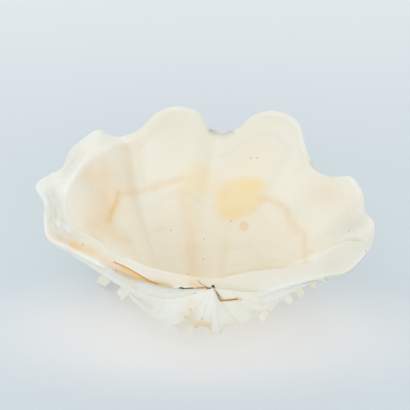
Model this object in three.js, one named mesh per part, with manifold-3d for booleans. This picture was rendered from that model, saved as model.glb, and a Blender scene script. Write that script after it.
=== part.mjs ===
// One valve of a fluted giant clam, lying on its outside with the hollow up.
// Millimetres, +Z up, +X along the hinge towards the shell's front end, +Y back to the scalloped margin.
// The whole valve grew as one piece, so it is one closed body: wall, hinge plate, ribs and scutes together.
import * as THREE from 'three';
import { mergeVertices } from 'three/addons/utils/BufferGeometryUtils.js';
import Module from 'manifold-3d';

const wasm = await Module();
wasm.setup();

const { degToRad, lerp, smoothstep } = THREE.MathUtils;

// Pose on the ground
const RIM_TILT = degToRad(18);       // the scalloped margin stands higher than the hinge
const GROUND_WEAR = 1.6;             // how much the lowest ribs are worn flat
const FOOT_WEAR = 3;                 // and the scutes that reach the ground
const EARTH_SIDE = 900;              // the block of ground that wears them, wider than the valve
const EARTH_DEPTH = 100;

// Growth: the margin shrinks and turns about the hinge line on its way back to the beak
const MARGIN_LENGTH = 1020;          // round the rim, which turns a width into a share of the way
const OUTSIDE_RATE = 0.60;           // natural log of the shrinkage for each radian turned
const INSIDE_RATE = 0.70;            // the inside shrinks faster, so the wall thickens
const OUTSIDE_TURN = degToRad(180);
const INSIDE_TURN = degToRad(150);
const CURL_POWER = 5;                // how late the spiral closes on the beak
const HOLD_FROM = degToRad(105);     // on the right the outside turns little further than this
const HOLD_OVER = degToRad(22);
const INSIDE_FADE = degToRad(26);    // the stage where the folds inside have half gone
const FADE_POWER = 3;
const FOLD_WIDTH = 42;               // margin length over which the folds even out
const FOLD_DRIFT = 60;               // how far the inside troughs lean to the left for each radian

// Hinge
const LIGAMENT_GROOVE = { from: 'nymph', to: 'slit left', depth: 5, place: 0.22 };
const LIP_ROUNDING = 1.2;
const HINGE_SAG = 36;                // how far the outside bellies under the hinge plate

// Ribs: flat-topped swellings of the outside, which start a little way in from the margin
const RIB_SWELL = 8;
const RIB_START = degToRad(16);
const RIB_OLD = [degToRad(60), degToRad(115)];
const RIB_SWELL_OLD = 0.8;           // near the beak they stand higher for their size
const RIB_WIDER_OLD = 0.45;          // and are wider for it
const GULLY_OLD = 11;                // depth of the gullies between them there

// Scutes: half funnels that rise from the ribs and open to the margin, one to each growth stage
const SCUTE_FIRST_STAGE = 15;        // degrees turned from the margin
const SCUTE_STAGE_STEP = 11.5;
const SCUTE_SPREAD = 1.08;           // its half width against the rib's
const SCUTE_GATHER = 0.35;           // how far its sides are drawn to the middle's direction
const SCUTE_FLARE = degToRad(66);    // angle between a scute and the rib that carries it
const SCUTE_CUP = degToRad(26);      // how much less its sides flare
const SCUTE_CURL = degToRad(14);     // how much more its free edge does
const SCUTE_ROUND = 2.4;             // powers that round its free edge
const SCUTE_ROUND_ENDS = 0.55;
const SCUTE_TAPER = 8;
const SCUTE_ROOT = 4.2;
const SCUTE_TIP = 1.7;
const SCUTE_SINK = 2.0;

// How finely the surfaces are faceted
const ROUND_THE_RIM = 90;
const OUTSIDE_STAGES = 14;
const INSIDE_STAGES = 11;
const SMOOTH_SAMPLES = 720;
const SMOOTH_REACH = 3;              // of the fold width, where its bell has faded
const BAND_STEPS = [0, 0.14, 0.3, 0.62, 1];
const SCUTE_ACROSS = [-1, -0.8, -0.4, 0, 0.4, 0.8, 1];
const SCUTE_UP = [0, 0.5, 1];
const NEAR_ANGLE = 0.01;             // steps that find a direction on the surface
const NEAR_SHARE = 0.002;

// The rim, from the beak round by the left end, the scalloped margin and the right end.
// Each place has the outer edge of the lip and its inner edge: along the hinge, back from it,
// and down from the plane of the opening.
const RIM = [
  { place: 'beak', outer: [0, 0, 0], inner: [0, 14, 7] },
  { place: 'nymph', outer: [-32, 0, 1], inner: [-28, 17, 6] },
  { place: 'slit right', outer: [-53, 3, 1], inner: [-51, 21, 4] },
  { place: 'slit', outer: [-75, 9, 1], inner: [-73, 28, 3] },
  { place: 'slit left', outer: [-97, 18, 1], inner: [-92, 37, 2] },
  { place: 'shelf', outer: [-122, 31, 2], inner: [-108, 49, 0] },
  { place: 'shelf end', outer: [-144, 45, 3], inner: [-123, 58, -3] },
  { place: 'left corner', outer: [-165, 57, 4], inner: [-136, 63, -7] },
  { place: 'left flat', outer: [-169, 75, 3], inner: [-144, 73, -10] },
  { place: 'left hollow', outer: [-170, 95, 0], inner: [-146, 87, -13] },
  { place: 'left tip', outer: [-179, 112, -5], inner: [-145, 102, -15] },
  { place: 'behind tip', outer: [-168, 130, 2], inner: [-140, 116, -14] },
  { place: 'rib A', outer: [-155, 145, 10], inner: [-134, 130, -12] },
  { place: 'behind A', outer: [-149, 158, 2], inner: [-129, 139, -14] },
  { place: 'lobe 2 left', outer: [-138, 162, -10], inner: [-123, 145, -16] },
  { place: 'lobe 2 top', outer: [-118, 171, -20], inner: [-113, 152, -14] },
  { place: 'lobe 2 right', outer: [-108, 177, -2], inner: [-100, 163, -4] },
  { place: 'rib B', outer: [-97, 188, 18], inner: [-87, 178, 14] },
  { place: 'right of B', outer: [-78, 188, 6], inner: [-73, 182, 4] },
  { place: 'lobe 3 left', outer: [-58, 196, -14], inner: [-56, 191, -14] },
  { place: 'lobe 3 top', outer: [-36, 197, -24], inner: [-35, 192, -24] },
  { place: 'lobe 3 right', outer: [-15, 196, -16], inner: [-16, 191, -16] },
  { place: 'left of C', outer: [-4, 192, 6], inner: [-5, 186, 5] },
  { place: 'rib C', outer: [9, 197, 20], inner: [7, 186, 16] },
  { place: 'right of C', outer: [25, 192, 10], inner: [24, 185, 8] },
  { place: 'lobe 4 left', outer: [41, 193, -12], inner: [42, 187, -12] },
  { place: 'lobe 4 top', outer: [62, 191, -25], inner: [61, 186, -25] },
  { place: 'lobe 4 right', outer: [88, 181, -20], inner: [85, 176, -20] },
  { place: 'lobe 4 side', outer: [96, 157, -8], inner: [91, 156, -8] },
  { place: 'rib D', outer: [111, 142, 16], inner: [104, 140, 13] },
  { place: 'right of D', outer: [125, 129, 4], inner: [120, 126, 3] },
  { place: 'lobe 5 top', outer: [140, 115, -16], inner: [137, 110, -16] },
  { place: 'lobe 5 side', outer: [150, 98, -12], inner: [145, 97, -12] },
  { place: 'rib E', outer: [154, 89, 7], inner: [149, 87, 5] },
  { place: 'lobe 6 top', outer: [160, 67, -5], inner: [154, 65, -6] },
  { place: 'rib F', outer: [159, 53, 5], inner: [151, 53, 0] },
  { place: 'lobe 7 side', outer: [150, 37, 0], inner: [130, 50, -2] },
  { place: 'lobe 7', outer: [140, 24, -1], inner: [112, 41, -2] },
  { place: 'right corner', outer: [130, 17, 1], inner: [95, 29, 0] },
  { place: 'right end', outer: [117, 16, 3], inner: [87, 26, 1] },
  { place: 'gape far', outer: [89, 10, 6], inner: [72, 23, 2] },
  { place: 'gape middle', outer: [69, 4, 8], inner: [54, 22, 3] },
  { place: 'gape near', outer: [47, -4, 10], inner: [35, 20, 4] },
  { place: 'crack right', outer: [26, -8, 11], inner: [19, 17, 6] },
  { place: 'crack left', outer: [8, -8, 9], inner: [8, 15, 7] },
];

// The ribs: half width at the margin, strength, and the lengths of their scutes by growth stage
const RIBS = [
  { place: 'left tip', halfWidth: 17, strength: 1.1, scutes: { 2: 9, 3: 8 } },
  { place: 'rib A', halfWidth: 22, strength: 1, scutes: { 1: 22, 2: 25, 3: 34, 4: 18 } },
  { place: 'rib B', halfWidth: 27, strength: 1, scutes: { 0: 23, 1: 22, 2: 21, 3: 21, 4: 15, 5: 13, 6: 10 } },
  { place: 'rib C', halfWidth: 27, strength: 1, scutes: { 0: 23, 1: 22, 2: 21, 3: 21, 4: 15, 5: 13, 6: 10 } },
  { place: 'rib D', halfWidth: 25, strength: 1, scutes: { 1: 22, 2: 21, 3: 18, 4: 14, 5: 12, 6: 9 } },
  { place: 'rib E', halfWidth: 19, strength: 0.85, scutes: { 1: 18, 2: 16, 3: 15, 4: 12, 5: 9 } },
  { place: 'rib F', halfWidth: 13, strength: 0.7, scutes: { 1: 12, 2: 11 } },
];
// Scutes long enough to reach the ground, which hold the margin up
const FEET = [
  { place: 'rib B', stage: 3 },
  { place: 'rib C', stage: 3 },
];

/** Distance travelled round the rim to each place, as a share of the whole way round. */
function rimShares() {
  const spacing = RIM.map((spot, i) => {
    const next = RIM[(i + 1) % RIM.length].outer;
    return Math.hypot(...spot.outer.map((value, axis) => next[axis] - value)) ** 0.75;
  });
  const whole = spacing.reduce((sum, step) => sum + step, 0);
  const shares = [0];
  for (const step of spacing) {
    shares.push(shares[shares.length - 1] + step / whole);
  }
  return shares;
}
const SHARES = rimShares();
const shareOf = (place) => SHARES[RIM.findIndex((spot) => spot.place === place)];

/** A smooth closed curve through one edge of the rim: a cubic between each two places. */
function rimPoint(edge, share) {
  const count = RIM.length;
  const u = ((share % 1) + 1) % 1;
  let i = 0;
  while (i < count - 1 && SHARES[i + 1] <= u) {
    i += 1;
  }
  const step = (k) => SHARES[((k % count) + count) % count + 1] - SHARES[((k % count) + count) % count];
  const at = (k) => RIM[((k % count) + count) % count][edge];
  const [before, here, after] = [step(i - 1), step(i), step(i + 1)];
  const t = (u - SHARES[i]) / here;
  return [0, 1, 2].map((axis) => {
    const [p0, p1, p2, p3] = [i - 1, i, i + 1, i + 2].map((k) => at(k)[axis]);
    const leave = ((p1 - p0) / before * here + (p2 - p1) / here * before) / (before + here);
    const arrive = ((p2 - p1) / here * after + (p3 - p2) / after * here) / (here + after);
    return (2 * t ** 3 - 3 * t ** 2 + 1) * p1 + (t ** 3 - 2 * t ** 2 + t) * here * leave
      + (3 * t ** 2 - 2 * t ** 3) * p2 + (t ** 3 - t ** 2) * here * arrive;
  });
}

/** How much of the margin's size is left after turning by an angle: a log spiral that closes at the end. */
function sizeAt(angle, rate, end) {
  return Math.exp(-rate * angle) * (1 - (Math.max(angle, 0) / end) ** CURL_POWER);
}

/** Shrinks a point towards the pole and turns it about the hinge line, back to down to front.
 *  Where the turn is held, it nears the sum of HOLD_FROM and HOLD_OVER. */
function grown([along, back, drop], [poleAlong, poleBack, poleDrop], angle, rate, end, held = 0) {
  const size = sizeAt(angle, rate, end);
  const reach = Math.hypot(back - poleBack, drop - poleDrop);
  const bearing = Math.atan2(drop - poleDrop, back - poleBack);
  const free = bearing + angle * (Math.PI - bearing) / Math.PI;
  const over = Math.max(free - HOLD_FROM, 0);
  const turned = free - held * (over - HOLD_OVER * (1 - Math.exp(-over / HOLD_OVER)));
  return [
    poleAlong + size * (along - poleAlong),
    poleBack + size * reach * Math.cos(turned),
    poleDrop + size * reach * Math.sin(turned),
  ];
}

/** How far the ribs stand out of the margin's own folds: a flat-topped bump across each rib, and near
 *  the beak a gully between each two. */
function ribSwell(share, angle) {
  const old = smoothstep(angle, ...RIB_OLD);
  let swell = 0;
  let covered = 0;
  for (const rib of RIBS) {
    const halfWidth = rib.halfWidth * (1 + RIB_WIDER_OLD * old);
    const bump = Math.exp(-(((share - shareOf(rib.place)) * MARGIN_LENGTH / halfWidth) ** 4));
    swell += RIB_SWELL * rib.strength * (1 + RIB_SWELL_OLD * old) * bump;
    covered += bump;
  }
  const ribbed = smoothstep(share, shareOf('shelf'), shareOf('left tip'))
    * (1 - smoothstep(share, shareOf('rib F'), shareOf('lobe 7')));
  return swell - GULLY_OLD * old * ribbed * Math.max(1 - covered, 0);
}

/** The outside of the wall at a share of the way round the rim and an angle turned from it. */
function outside(share, angle) {
  const [along, back, drop] = rimPoint('outer', share);
  const swell = ribSwell(share, angle) * smoothstep(angle, 0, RIB_START) / Math.hypot(1, OUTSIDE_RATE);
  const edge = [along, back + swell, drop + swell * OUTSIDE_RATE];
  const held = smoothstep(share, shareOf('right of C'), shareOf('rib D'));
  const point = grown(edge, RIM[0].outer, angle, OUTSIDE_RATE, OUTSIDE_TURN, held);
  const size = sizeAt(angle, OUTSIDE_RATE, OUTSIDE_TURN);
  const under = smoothstep(share, shareOf('lobe 7'), shareOf('gape far'))
    * (1 - smoothstep(share, shareOf('crack left'), 1));
  return [point[0], point[1], point[2] + HINGE_SAG * under * size * (1 - size)];
}

/** The inner edge of the rim sampled evenly, its smoothed course, and the folds that are left over. */
function insideFolds() {
  const edge = [];
  for (let i = 0; i < SMOOTH_SAMPLES; i += 1) {
    edge.push(rimPoint('inner', i / SMOOTH_SAMPLES));
  }
  const spread = FOLD_WIDTH / MARGIN_LENGTH * SMOOTH_SAMPLES;
  const reach = Math.round(SMOOTH_REACH * spread);
  return edge.map((point, i) => {
    const share = i / SMOOTH_SAMPLES;
    const sum = [0, 0, 0];
    let weights = 0;
    for (let k = -reach; k <= reach; k += 1) {
      const weight = Math.exp(-0.5 * (k / spread) ** 2);
      const near = edge[(i + k + 2 * SMOOTH_SAMPLES) % SMOOTH_SAMPLES];
      weights += weight;
      near.forEach((value, axis) => { sum[axis] += weight * value; });
    }
    const scalloped = smoothstep(share, shareOf('left tip'), shareOf('lobe 2 left'))
      * (1 - smoothstep(share, shareOf('lobe 6 top'), shareOf('lobe 7 side')));
    return point.map((value, axis) => scalloped * (value - sum[axis] / weights));
  });
}
const FOLDS = insideFolds();

/** The fold at a share of the way round, between samples. */
function foldAt(share) {
  const place = (((share % 1) + 1) % 1) * SMOOTH_SAMPLES;
  const low = Math.floor(place);
  const [a, b] = [FOLDS[low % SMOOTH_SAMPLES], FOLDS[(low + 1) % SMOOTH_SAMPLES]];
  return a.map((value, axis) => lerp(value, b[axis], place - low));
}

/** The inside of the wall. Its folds fade towards the beak and its troughs lean to the left. */
function inside(share, angle) {
  const kept = 1 / (1 + (angle / INSIDE_FADE) ** FADE_POWER);
  const lean = smoothstep(share, shareOf('left hollow'), shareOf('rib B'))
    * (1 - smoothstep(share, shareOf('rib D'), shareOf('rib E')));
  const drift = FOLD_DRIFT * lean * angle / MARGIN_LENGTH;
  const edge = rimPoint('inner', share);
  const fold = foldAt(share);
  const moved = foldAt(share + drift);
  const point = edge.map((value, axis) => value - fold[axis] + kept * moved[axis]);
  return grown(point, RIM[0].inner, angle, INSIDE_RATE, INSIDE_TURN);
}

/** The lip and hinge plate between the two edges, crowned, with the ligament's groove near the outer. */
function band(share, across) {
  const outer = rimPoint('outer', share);
  const inner = rimPoint('inner', share);
  const { from, to, depth, place } = LIGAMENT_GROOVE;
  const along = smoothstep(share, shareOf(from), shareOf('slit right'))
    * (1 - smoothstep(share, shareOf(to), shareOf('shelf')));
  const groove = depth * along * Math.max(0, 1 - Math.abs(across - place) / place);
  const rounding = LIP_ROUNDING * 4 * across * (1 - across);
  const fall = [0, 0, groove - rounding];
  return fall.map((lower, axis) => lerp(outer[axis], inner[axis], across) + lower);
}

/** A point given along, back and down from the opening's plane, placed in the part's upright frame. */
function upright([along, back, drop]) {
  return [
    along,
    back * Math.cos(RIM_TILT) + drop * Math.sin(RIM_TILT),
    back * Math.sin(RIM_TILT) - drop * Math.cos(RIM_TILT),
  ];
}

/** Triangles of a grid of points, rows by columns, closed round the columns if asked. */
function gridFaces(rows, columns, first, closed) {
  const faces = [];
  for (let i = 0; i < rows - 1; i += 1) {
    for (let j = 0; j < (closed ? columns : columns - 1); j += 1) {
      const [a, b] = [first + i * columns + j, first + i * columns + (j + 1) % columns];
      const [c, d] = [a + columns, b + columns];
      faces.push(a, b, d, a, d, c);
    }
  }
  return faces;
}

/** A body that can be joined and cut, from positions and the corners of its triangles. */
function body(positions, corners) {
  return new wasm.Manifold(new wasm.Mesh({
    numProp: 3,
    vertProperties: new Float32Array(positions),
    triVerts: new Uint32Array(corners),
  }));
}

/** A closed body from points and faces: shared points merged, empty faces dropped, faces turned outwards. */
function solid(points, faces) {
  const rough = new THREE.BufferGeometry();
  rough.setAttribute('position', new THREE.Float32BufferAttribute(points.flat(), 3));
  rough.setIndex(faces);
  const merged = mergeVertices(rough, 1e-3);
  const position = merged.attributes.position.array;
  const index = merged.index.array;
  const kept = [];
  let volume = 0;
  for (let f = 0; f < index.length; f += 3) {
    const corners = [index[f], index[f + 1], index[f + 2]];
    if (new Set(corners).size === 3) {
      kept.push(corners);
      const [p, q, r] = corners.map((k) => new THREE.Vector3().fromArray(position, 3 * k));
      volume += p.dot(q.cross(r)) / 6;
    }
  }
  const turned = kept.map(([a, b, c]) => (volume < 0 ? [a, c, b] : [a, b, c]));
  return body(position, turned.flat());
}

/** Growth stages in even steps along the wall: the angles between 0 and the end of the turn. */
function stageAngles(count, rate, end) {
  const whole = 1 - Math.exp(-rate * end);
  return Array.from({ length: count + 1 }, (_, i) => -Math.log(1 - whole * i / count) / rate);
}

/** The wall: outside, lip and inside as three grids that meet along the two edges of the rim. */
function valveWall() {
  const round = Array.from({ length: ROUND_THE_RIM }, (_, i) => i / ROUND_THE_RIM);
  const outsideRows = stageAngles(OUTSIDE_STAGES, OUTSIDE_RATE, OUTSIDE_TURN).reverse()
    .map((angle) => round.map((share) => outside(share, angle)));
  const lipRows = BAND_STEPS.slice(1, -1).map((across) => round.map((share) => band(share, across)));
  const insideRows = stageAngles(INSIDE_STAGES, INSIDE_RATE, INSIDE_TURN)
    .map((angle) => round.map((share) => inside(share, angle)));
  const rows = [...outsideRows, ...lipRows, ...insideRows];
  return solid(rows.flat().map(upright), gridFaces(rows.length, ROUND_THE_RIM, 0, true));
}

/** The rib's own directions at a place on the outside: outwards, and back along it to the margin. */
function ribFrame(share, angle) {
  const here = new THREE.Vector3(...upright(outside(share, angle)));
  const older = new THREE.Vector3(...upright(outside(share, angle + NEAR_ANGLE)));
  const beside = new THREE.Vector3(...upright(outside(share + NEAR_SHARE, angle)));
  const marginwards = here.clone().sub(older).normalize();
  const outwards = marginwards.clone().cross(beside.sub(here)).normalize();
  return { here, marginwards, outwards };
}

const scuteAngle = (stage) => degToRad(SCUTE_FIRST_STAGE + stage * SCUTE_STAGE_STEP);

/** One scute: a leaf that rises from the rib and both its flanks, leans to the margin and is cupped. */
function scute(rib, stage, length) {
  const angle = scuteAngle(stage);
  const halfShare = SCUTE_SPREAD * rib.halfWidth / MARGIN_LENGTH;
  const middle = ribFrame(shareOf(rib.place), angle).outwards;
  const sheet = (side) => SCUTE_UP.flatMap((rise) => SCUTE_ACROSS.map((v) => {
    const { here, marginwards, outwards } = ribFrame(shareOf(rib.place) + v * halfShare, angle);
    outwards.lerp(middle, SCUTE_GATHER);
    outwards.addScaledVector(marginwards, -outwards.dot(marginwards)).normalize();
    const lean = SCUTE_FLARE - SCUTE_CUP * v ** 2 + SCUTE_CURL * rise;
    const reach = length * (1 - Math.abs(v) ** SCUTE_ROUND) ** SCUTE_ROUND_ENDS;
    const [sin, cos] = [Math.sin(lean), Math.cos(lean)];
    const along = outwards.clone().multiplyScalar(sin).addScaledVector(marginwards, cos);
    const thick = outwards.clone().multiplyScalar(cos).addScaledVector(marginwards, -sin);
    const half = side * lerp(SCUTE_ROOT, SCUTE_TIP, rise) / 2 * Math.sqrt(1 - Math.abs(v) ** SCUTE_TAPER);
    here.addScaledVector(along, rise * (SCUTE_SINK + reach) - SCUTE_SINK);
    return here.addScaledVector(thick, half).toArray();
  }));
  const [columns, rows] = [SCUTE_ACROSS.length, SCUTE_UP.length];
  const far = rows * columns;
  const front = gridFaces(rows, columns, 0, false);
  const back = gridFaces(rows, columns, far, false).reverse();
  const edge = [
    ...SCUTE_ACROSS.map((_, j) => j),
    ...SCUTE_UP.slice(1).map((_, i) => (i + 2) * columns - 1),
    ...SCUTE_ACROSS.slice(1).map((_, j) => far - 2 - j),
    ...SCUTE_UP.slice(1, -1).map((_, i) => (rows - 2 - i) * columns),
  ];
  const sides = edge.flatMap((a, k) => {
    const b = edge[(k + 1) % edge.length];
    return [a, a + far, b + far, a, b + far, b];
  });
  return solid([...sheet(1), ...sheet(-1)], [...front, ...back, ...sides]);
}

/** Length that brings the middle of a scute's edge down to a level under the ground. */
function footLength(rib, stage, level) {
  const { here, marginwards, outwards } = ribFrame(shareOf(rib.place), scuteAngle(stage));
  const lean = SCUTE_FLARE + SCUTE_CURL;
  const fall = -(outwards.z * Math.sin(lean) + marginwards.z * Math.cos(lean));
  return (here.z - level) / fall;
}

/** The ground that wears the lowest ribs and scutes flat, with its top at a level. */
function earth(level) {
  const block = new THREE.BoxGeometry(EARTH_SIDE, EARTH_SIDE, EARTH_DEPTH);
  block.translate(0, 0, level - EARTH_DEPTH / 2);
  block.deleteAttribute('normal');
  block.deleteAttribute('uv');
  const merged = mergeVertices(block);
  return body(merged.attributes.position.array, merged.index.array);
}

/** The whole valve, set down on its worn flats with its box centred over the origin. */
function valveGeometry() {
  let whole = valveWall();
  const ground = whole.boundingBox().min[2] + GROUND_WEAR;
  for (const rib of RIBS) {
    for (const [key, length] of Object.entries(rib.scutes)) {
      const stage = Number(key);
      const foot = FEET.some((spot) => spot.place === rib.place && spot.stage === stage);
      whole = whole.add(scute(rib, stage, foot ? footLength(rib, stage, ground - FOOT_WEAR) : length));
    }
  }
  const { vertProperties, triVerts } = whole.subtract(earth(ground)).getMesh();
  const geometry = new THREE.BufferGeometry();
  geometry.setAttribute('position', new THREE.BufferAttribute(vertProperties, 3));
  geometry.setIndex(new THREE.BufferAttribute(triVerts, 1));
  geometry.computeBoundingBox();
  const { min, max } = geometry.boundingBox;
  geometry.translate(-(min.x + max.x) / 2, -(min.y + max.y) / 2, -min.z);
  geometry.computeVertexNormals();
  return geometry;
}

const shellWhite = new THREE.MeshStandardMaterial({ color: 0xeae4d2, roughness: 0.55, metalness: 0 });

const valve = new THREE.Mesh(valveGeometry(), shellWhite);
valve.name = 'valve';

const clamShell = new THREE.Group();
clamShell.add(valve);

export default clamShell;
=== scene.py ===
"""One valve of a fluted giant clam, lying on its outside with the hollow up.

Lengths are millimetres until a mesh is made. Places on the shell are given along the hinge, back from
it, and down from the plane of the opening, as in the part's own source, and are then turned upright.
"""

import math

import bpy
import numpy as np
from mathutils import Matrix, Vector


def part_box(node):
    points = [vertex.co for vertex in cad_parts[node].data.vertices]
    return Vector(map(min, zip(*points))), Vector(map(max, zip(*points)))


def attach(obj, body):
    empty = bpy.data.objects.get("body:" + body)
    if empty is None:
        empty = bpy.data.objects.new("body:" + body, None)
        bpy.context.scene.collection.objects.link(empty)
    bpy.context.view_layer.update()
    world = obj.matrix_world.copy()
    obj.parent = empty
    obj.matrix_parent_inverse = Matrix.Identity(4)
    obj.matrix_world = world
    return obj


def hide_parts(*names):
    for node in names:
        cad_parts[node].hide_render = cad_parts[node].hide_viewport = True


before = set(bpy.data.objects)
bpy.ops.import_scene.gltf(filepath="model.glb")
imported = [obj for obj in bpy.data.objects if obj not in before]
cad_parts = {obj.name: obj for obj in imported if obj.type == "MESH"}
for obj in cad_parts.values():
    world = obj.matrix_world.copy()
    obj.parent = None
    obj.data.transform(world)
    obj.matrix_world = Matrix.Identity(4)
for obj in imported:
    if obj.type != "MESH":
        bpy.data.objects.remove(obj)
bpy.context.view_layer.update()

MM = 0.001

# Pose on the ground, and growth, as in the part
RIM_TILT = math.radians(18)
GROUND_WEAR = 1.6
FOOT_WEAR = 3
OUTSIDE_RATE = 0.60
INSIDE_RATE = 0.70
OUTSIDE_TURN = math.radians(180)
INSIDE_TURN = math.radians(150)
CURL_POWER = 5
HOLD_FROM = math.radians(105)
HOLD_OVER = math.radians(22)
INSIDE_FADE = math.radians(26)
FADE_POWER = 3
FOLD_WIDTH = 42
FOLD_DRIFT = 60
MARGIN_LENGTH = 1020

# Ribs: near the beak they stand higher and wider for their size, with gullies between them
RIB_SWELL = 8
RIB_START = math.radians(16)
RIB_OLD = math.radians(60), math.radians(115)
RIB_SWELL_OLD = 0.8
RIB_WIDER_OLD = 0.45
GULLY_OLD = 11

# Scutes: the first stage and the step between stages are degrees turned from the margin
SCUTE_FIRST_STAGE = 15
SCUTE_STAGE_STEP = 11.5
SCUTE_SPREAD = 1.08
SCUTE_GATHER = 0.35
SCUTE_FLARE = math.radians(66)
SCUTE_CUP = math.radians(26)
SCUTE_CURL = math.radians(14)
SCUTE_ROUND = 2.4
SCUTE_ROUND_ENDS = 0.55
SCUTE_TAPER = 8
SCUTE_EDGE_POWER = 12
SCUTE_EDGE_LEFT = 0.08  # least share of its thickness, squared, at the free edge
SCUTE_ROOT = 4.2
SCUTE_TIP = 1.7
SCUTE_SINK = 2.0
SCUTE_FOLD = 0.9
SCUTE_FOLDS = 2.5  # half waves of the folds from the middle to a side
SCUTE_RAGGED = [(0.06, 9, 2.1), (0.05, 23, 4.7)]  # waves of the free edge: depth, pace, shift by stage
SCUTE_MAP_STEP = 0.1  # metres of the growth map from one stage to the next
SCUTE_MAP_LENGTH = 0.06
SCUTE_STAIN = 0.25
# Scutes are whitened partly as their own chalky colour and partly with painted light that lifts them out of
# shade
SCUTE_PAINTED_LIGHT = 0.5

# Relief of the outside
LEDGE_ON_RIB = 2.6
LEDGE_BETWEEN = 0.9
LEDGE_FALL = 4  # degrees over which a ledge drops off
LEDGE_RISE = -0.5, 0.3
LEDGE_WANDER = 0.5
LEDGE_PACE = 60, 3
LEDGE_SEED = 3
LEDGE_STAGES = range(-1, 12)
LEDGE_FADE = 0.7  # power of the shell's size by which the ledges shrink towards the beak
FINE_LEDGE = 0.35
FINE_LEDGE_STEP = 2.3
FINE_LEDGE_POWER = 0.7
RIBLET = 1.3
RIBLET_WAVES = 1.5  # half waves from the middle of a rib to its side
RIBLET_REACH = 1.2  # of the rib's half width
RIBLET_EDGE = 6
RIBLET_START = 4, 20
RIBLET_FADE = 1.2
TWIN_RIB = "rib C"  # its riblets stay deep, so that it is two ribs at the beak
TWIN_FADE = 0.2
RELIEF_START = 0.5, 5
RELIEF_END = 150, 175
# Painted shade in the creases: how far away the hollow is measured, its least span, and the depths over which
# the shade comes in
CREASE_REACH = 5
CREASE_LEAST = 0.5
CREASE_DEPTHS = 0.015, 0.22

# Hinge plate and left facet
HINGE_SAG = 36
PLICA_HEIGHT = 0.55
PLICA_STEP = 6.2
PLICA_BOW = 5.5
PLICAE_START = 6, 12
PLICAE_END = 38, 58
CREST_HEIGHT = 1.5
CREST_WIDTH = 3.5
BUMP_HEIGHT = 1.2
BUMP_WIDTH = 2.5
FACET_RIDGE = 1.3
FACET_RIDGES = 4.5
FACET_WANDER = 0.35
FACET_PACE = 70, 4
FACET_SEED = 11
GROOVE_DEPTH = 5
GROOVE_PLACE = 0.22
LIP_ROUNDING = 1.2

# Where things begin and end over the lip, from 0 at its outer edge to 1 at its inner edge
RAISED_OVER = 0.2, 0.6
CREASED_OVER = 0, 0.6
INNER_OVER = 0.5, 1
PLATE_FROM = 0, 0.3
PLATE_TO = 0.85, 1
PORCELAIN_OVER = 0.0, 0.75

# The camera, from the beak, and the picture it takes
CAMERA_ELEVATION = math.radians(41)
CAMERA_DISTANCE = 1093
CAMERA_RISE = 79.65
CAMERA_ASIDE = -7.68
LENS = 100
SENSOR = 36
PICTURE = 410
FACING = 0.02, 0.2  # cosines over which a face comes into the camera's sight
FRAYING = 1.6
FRAYING_PACE = 6
FRAYING_SEEDS = 5, 8

# Marks on the inside, as the camera sees them: places in the picture's pixels
ADDUCTOR_SCAR = [
    (222, 183), (240, 178), (263, 177), (268, 189), (262, 200), (255, 211), (246, 218), (235, 221),
    (222, 220), (216, 212), (214, 200), (217, 190),
]
RETRACTOR_SCAR = [
    (180, 176), (192, 166), (205, 164), (213, 173), (214, 186), (203, 198), (190, 196), (184, 186),
]
SCAR_BRIDGE = [(206, 186), (222, 190)]
PALLIAL_LEFT = [(182, 178), (176, 181), (160, 184), (150, 188), (143, 190), (128, 194), (119, 194)]
PALLIAL_LEFT_STRONG = [(176, 181), (160, 185), (150, 187.5)]
PALLIAL_RIGHT_STRONG = [(290, 217), (298, 230), (303, 234)]
PALLIAL_STREAK = [(119, 193), (116, 203), (111, 210), (109, 222)]
PALLIAL_TAIL = [(109, 222), (112, 231), (119, 238), (128, 240)]
PALLIAL_RIGHT = [
    (262, 200), (270, 200), (285, 208), (288, 212), (290, 222), (297, 230), (303, 233), (305, 240),
    (306, 260),
]
# Painted warm shade in the hollow bowl of lobe 2
PEACH_BOWL_SHADE = [(92, 170), (106, 186), (104, 205), (98, 222)]
PEACH_LOBE = [(322, 193), (336, 200)]
PEACH_STREAK = [(186, 196), (190, 225), (192, 270)]
PEACH_STREAK_LOW = [(190, 250), (205, 262), (196, 275)]
# Painted shade down trough B
TROUGH_B_SHADE = [(129, 142), (130, 165), (132, 190)]
YELLOW_STREAK = [(226, 240), (223, 262), (221, 275)]
RING_SPOT = (244, 226)
# Partly chalky white and partly painted highlight: the lit crest, tip, outer edge and bumps of the left side
LIT_CHALK_CREST = [(66, 192), (70, 184), (76, 173), (83, 164), (95, 154), (108, 149)]
LIT_CHALK_TIP = [(35, 187), (41, 193), (46, 201)]
LIT_CHALK_EDGE = [(43, 203), (43.5, 218), (44, 232), (50, 240), (65, 248), (88, 259), (112, 271)]
LIT_CHALK_BUMPS = [(57, 222), (63, 226), (69, 230)]
# Painted shade: the shaded outer faces seen in dips C and D, the flange at the lower right, and the left
# facet turned from the light
SHADED_DIP_C = [(211, 130.5), (217, 133), (224, 134.5), (231, 131.5)]
SHADED_DIP_D = [(311, 163), (318, 170.5), (327, 174.5), (333, 176)]
SHADED_FLANGE = [(350, 224), (366, 232), (352, 250), (330, 264), (344, 262)]
SHADED_FACET = [(50, 196), (54, 212), (62, 226)]
PITS = [
    (257, 158), (251, 158), (231, 221), (204, 239), (171, 230), (203, 259), (188, 274), (366, 251),
    (349, 231),
]

# Marks on the hinge and the outside of the beak
LIGAMENT = [(114, 262), (120, 265), (130, 270), (141, 277), (152, 282), (160, 284.5), (172, 286.5)]
LIGAMENT_WIDE = [(122, 266.5), (131, 271.5), (141, 277.5), (150, 281.5)]
LIGAMENT_CORE = [(114, 262), (122, 265.5), (131, 270), (140, 275.5), (149, 281), (158, 284)]
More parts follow.
